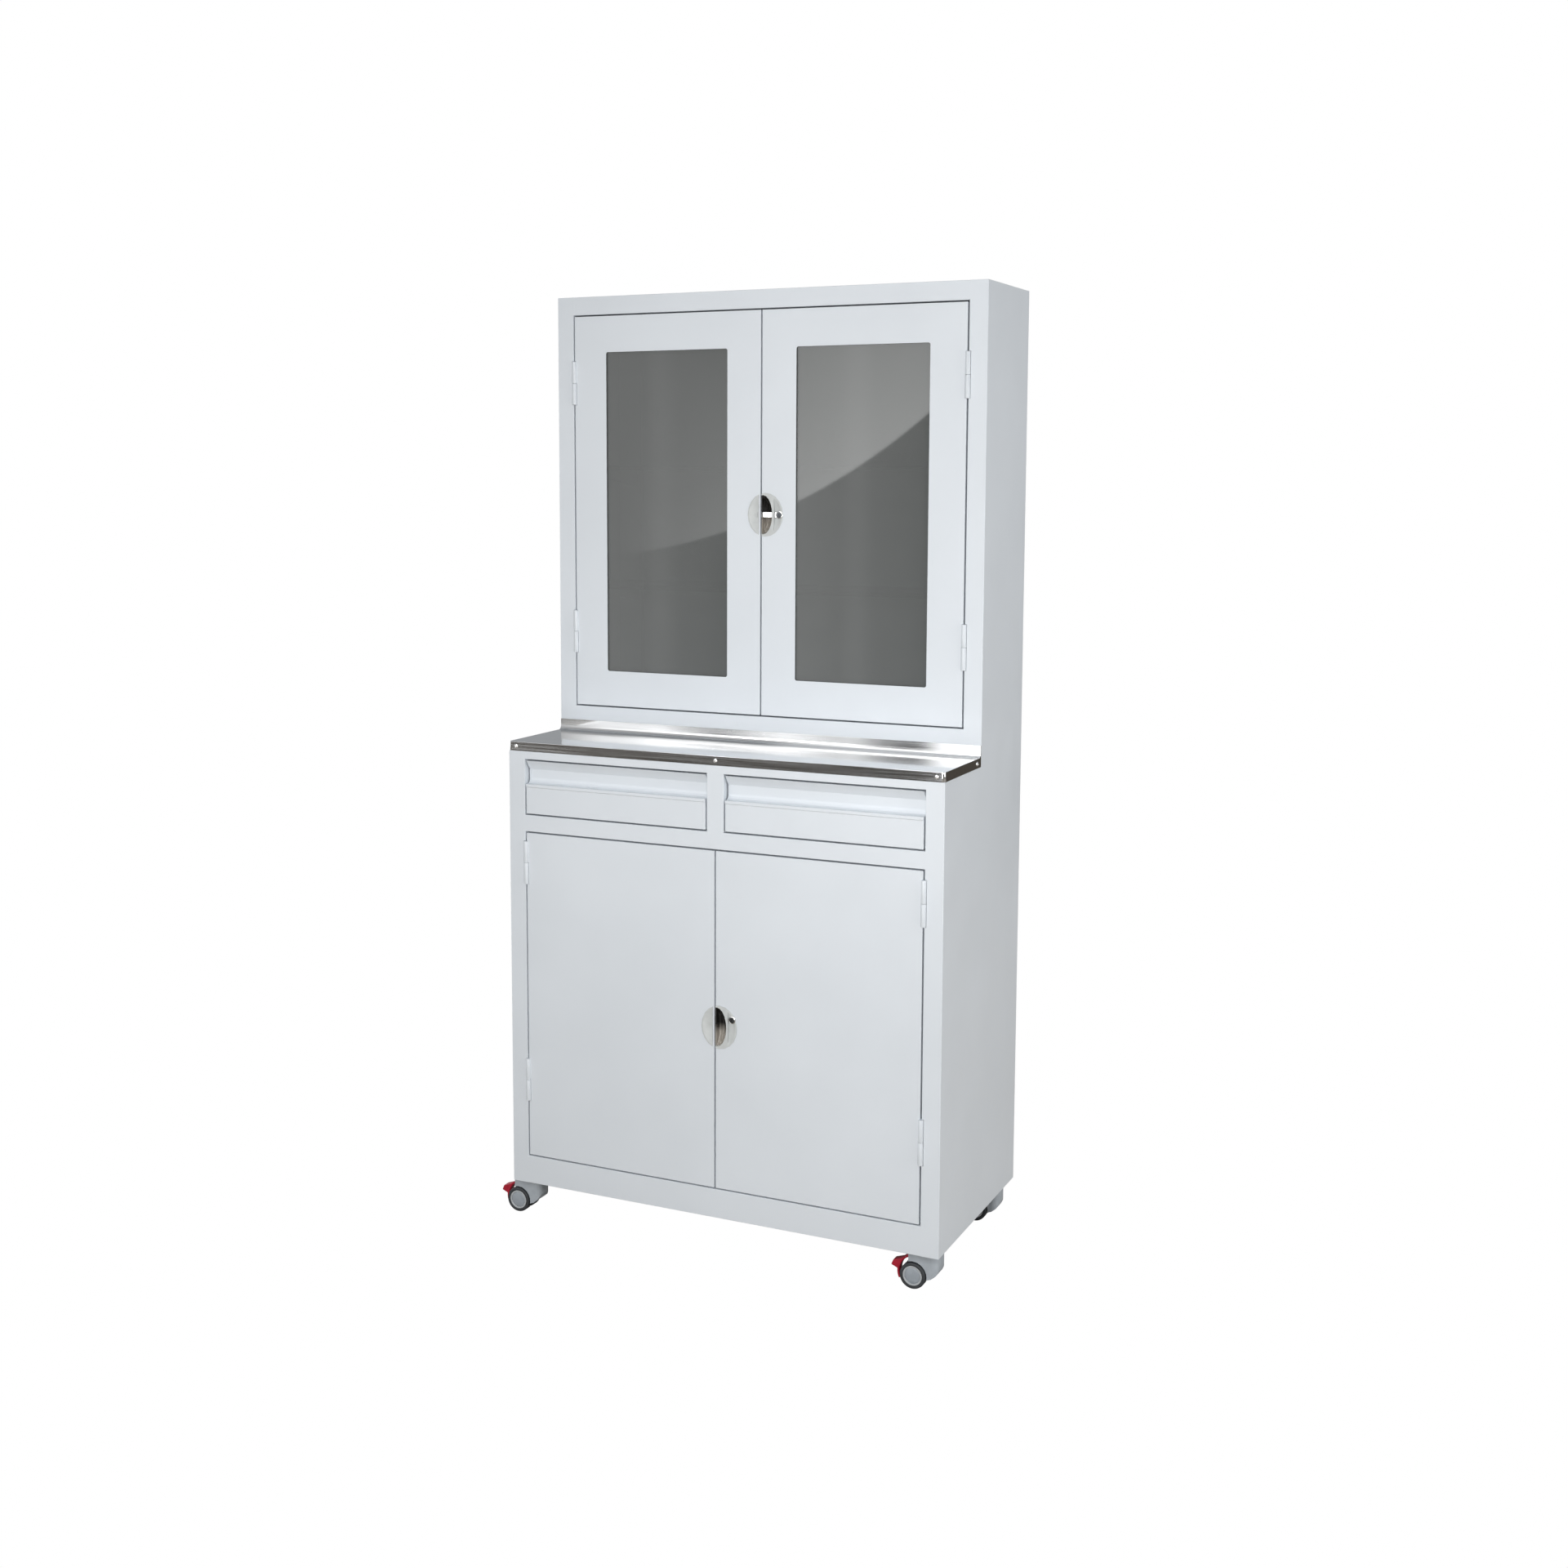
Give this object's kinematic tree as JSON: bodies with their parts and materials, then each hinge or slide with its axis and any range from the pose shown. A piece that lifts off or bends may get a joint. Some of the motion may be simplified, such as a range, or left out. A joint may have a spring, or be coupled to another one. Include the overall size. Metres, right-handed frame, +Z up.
{
  "type": "glass door medical cabinet",
  "caption": "Steel instrument cabinet on braked casters: glazed hutch over a stainless worktop, drawers with trough pulls and a base with locking doors",
  "frame": {"origin": "on the floor, under the middle of the whole object's box with its casters trailing left", "axes": "+X to the right as seen from the front, +Y to the back, +Z up; the doors face -Y"},
  "size_m": [0.9524, 0.4549, 1.836],
  "materials": {
    "painted_steel": "light grey powder coat",
    "stainless": "polished stainless sheet",
    "clear_glass": "clear float glass",
    "gasket_rubber": "extruded rubber",
    "plated_steel": "bright plated steel",
    "pull_plastic": "satin grey moulding",
    "hood_plastic": "satin grey moulding",
    "wheel_plastic": "dark tread on a moulded wheel",
    "pedal_plastic": "red moulding"
  },
  "bodies": {
    "carcass": {"side_panel_left": "clear_glass", "side_panel_right": "clear_glass", "back_panel": "clear_glass", "top_panel": "clear_glass", "hutch_floor": "painted_steel", "base_floor": "painted_steel", "worktop": "stainless", "drawer_top_rail": "painted_steel", "mid_rail": "painted_steel", "drawer_mullion": "painted_steel", "glass_shelf_lower": "clear_glass", "glass_shelf_upper": "clear_glass", "shelf_bracket_lower_left": "painted_steel", "shelf_bracket_lower_right": "painted_steel", "shelf_bracket_upper_left": "painted_steel", "shelf_bracket_upper_right": "painted_steel", "base_shelf": "painted_steel", "base_shelf_rail_left": "painted_steel", "base_shelf_rail_right": "painted_steel", "drawer_runner_left": "plated_steel", "drawer_runner_right": "plated_steel", "drawer_runner_centre": "plated_steel", "upper_left_hinge_bottom": "painted_steel", "upper_left_hinge_top": "painted_steel", "upper_right_hinge_bottom": "painted_steel", "upper_right_hinge_top": "painted_steel", "lower_left_hinge_bottom": "painted_steel", "lower_left_hinge_top": "painted_steel", "lower_right_hinge_bottom": "painted_steel", "lower_right_hinge_top": "painted_steel"},
    "upper_left_door": {"upper_left_door": "painted_steel", "upper_left_pull": "pull_plastic", "upper_left_pane": "clear_glass", "upper_left_gasket": "gasket_rubber"},
    "upper_right_door": {"upper_right_door": "painted_steel", "upper_right_pull": "pull_plastic", "upper_right_pane": "clear_glass", "upper_right_gasket": "gasket_rubber"},
    "upper_lock_plug": {"upper_lock_plug": "plated_steel"},
    "upper_lock_bolt": {"upper_lock_bolt": "plated_steel"},
    "lower_left_door": {"lower_left_door": "painted_steel", "lower_left_pull": "pull_plastic"},
    "lower_right_door": {"lower_right_door": "painted_steel", "lower_right_pull": "pull_plastic"},
    "lower_lock_plug": {"lower_lock_plug": "plated_steel"},
    "lower_lock_bolt": {"lower_lock_bolt": "plated_steel"},
    "drawer_left": {"drawer_front_left": "painted_steel", "drawer_tray_left": "painted_steel"},
    "drawer_right": {"drawer_front_right": "painted_steel", "drawer_tray_right": "painted_steel"},
    "caster_front_left": {"caster_hood_front_left": "hood_plastic"},
    "wheels_front_left": {"caster_wheels_front_left": "wheel_plastic"},
    "pedal_front_left": {"brake_pedal_front_left": "pedal_plastic"},
    "caster_front_right": {"caster_hood_front_right": "hood_plastic"},
    "wheels_front_right": {"caster_wheels_front_right": "wheel_plastic"},
    "pedal_front_right": {"brake_pedal_front_right": "pedal_plastic"},
    "caster_rear_left": {"caster_hood_rear_left": "hood_plastic"},
    "wheels_rear_left": {"caster_wheels_rear_left": "wheel_plastic"},
    "caster_rear_right": {"caster_hood_rear_right": "hood_plastic"},
    "wheels_rear_right": {"caster_wheels_rear_right": "wheel_plastic"}
  },
  "joints": [
    {"name": "upper_left_door_swing", "type": "hinge", "parent": "carcass", "child": "upper_left_door", "pos_m": [-0.38675, -0.0225, 1.4085], "axis": [0, 0, -1], "range_deg": [0, 120]},
    {"name": "upper_right_door_swing", "type": "hinge", "parent": "carcass", "child": "upper_right_door", "pos_m": [0.43925, -0.0225, 1.4085], "axis": [0, 0, 1], "range_deg": [0, 120]},
    {"name": "upper_lock_turn", "type": "hinge", "parent": "upper_right_door", "child": "upper_lock_plug", "pos_m": [0.06525, -0.0225, 1.4085], "axis": [0, -1, 0], "range_deg": [0, 90]},
    {"name": "upper_bolt_throw", "type": "slide", "parent": "upper_right_door", "child": "upper_lock_bolt", "axis": [-1, 0, 0], "range_m": [0, 0.009]},
    {"name": "lower_left_door_swing", "type": "hinge", "parent": "carcass", "child": "lower_left_door", "pos_m": [-0.38675, -0.2225, 0.46075], "axis": [0, 0, -1], "range_deg": [0, 120]},
    {"name": "lower_right_door_swing", "type": "hinge", "parent": "carcass", "child": "lower_right_door", "pos_m": [0.43925, -0.2225, 0.46075], "axis": [0, 0, 1], "range_deg": [0, 120]},
    {"name": "lower_lock_turn", "type": "hinge", "parent": "lower_right_door", "child": "lower_lock_plug", "pos_m": [0.06225, -0.2225, 0.46675], "axis": [0, -1, 0], "range_deg": [0, 90]},
    {"name": "lower_bolt_throw", "type": "slide", "parent": "lower_right_door", "child": "lower_lock_bolt", "axis": [-1, 0, 0], "range_m": [0, 0.009]},
    {"name": "drawer_left_slide", "type": "slide", "parent": "carcass", "child": "drawer_left", "axis": [0, -1, 0], "range_m": [0, 0.3]},
    {"name": "drawer_right_slide", "type": "slide", "parent": "carcass", "child": "drawer_right", "axis": [0, -1, 0], "range_m": [0, 0.3]},
    {"name": "caster_front_left_swivel", "type": "hinge", "parent": "carcass", "child": "caster_front_left", "pos_m": [-0.39725, -0.1755, 0.076], "axis": [0, 0, 1], "continuous": true},
    {"name": "wheels_front_left_roll", "type": "hinge", "parent": "caster_front_left", "child": "wheels_front_left", "pos_m": [-0.42925, -0.1755, 0.025], "axis": [0, 1, 0], "continuous": true},
    {"name": "pedal_front_left_press", "type": "hinge", "parent": "caster_front_left", "child": "pedal_front_left", "pos_m": [-0.43325, -0.1755, 0.062], "axis": [0, -1, 0], "range_deg": [0, 6]},
    {"name": "caster_front_right_swivel", "type": "hinge", "parent": "carcass", "child": "caster_front_right", "pos_m": [0.44975, -0.1755, 0.076], "axis": [0, 0, 1], "continuous": true},
    {"name": "wheels_front_right_roll", "type": "hinge", "parent": "caster_front_right", "child": "wheels_front_right", "pos_m": [0.41775, -0.1755, 0.025], "axis": [0, 1, 0], "continuous": true},
    {"name": "pedal_front_right_press", "type": "hinge", "parent": "caster_front_right", "child": "pedal_front_right", "pos_m": [0.41375, -0.1755, 0.062], "axis": [0, -1, 0], "range_deg": [0, 6]},
    {"name": "caster_rear_left_swivel", "type": "hinge", "parent": "carcass", "child": "caster_rear_left", "pos_m": [-0.39725, 0.1805, 0.076], "axis": [0, 0, 1], "continuous": true},
    {"name": "wheels_rear_left_roll", "type": "hinge", "parent": "caster_rear_left", "child": "wheels_rear_left", "pos_m": [-0.42925, 0.1805, 0.025], "axis": [0, 1, 0], "continuous": true},
    {"name": "caster_rear_right_swivel", "type": "hinge", "parent": "carcass", "child": "caster_rear_right", "pos_m": [0.44975, 0.1805, 0.076], "axis": [0, 0, 1], "continuous": true},
    {"name": "wheels_rear_right_roll", "type": "hinge", "parent": "caster_rear_right", "child": "wheels_rear_right", "pos_m": [0.41775, 0.1805, 0.025], "axis": [0, 1, 0], "continuous": true}
  ],
  "couplings": [
    {"joint": "upper_bolt_throw", "follows": "upper_lock_turn", "m_per_rad": 0.0057296},
    {"joint": "lower_bolt_throw", "follows": "lower_lock_turn", "m_per_rad": 0.0057296}
  ]
}
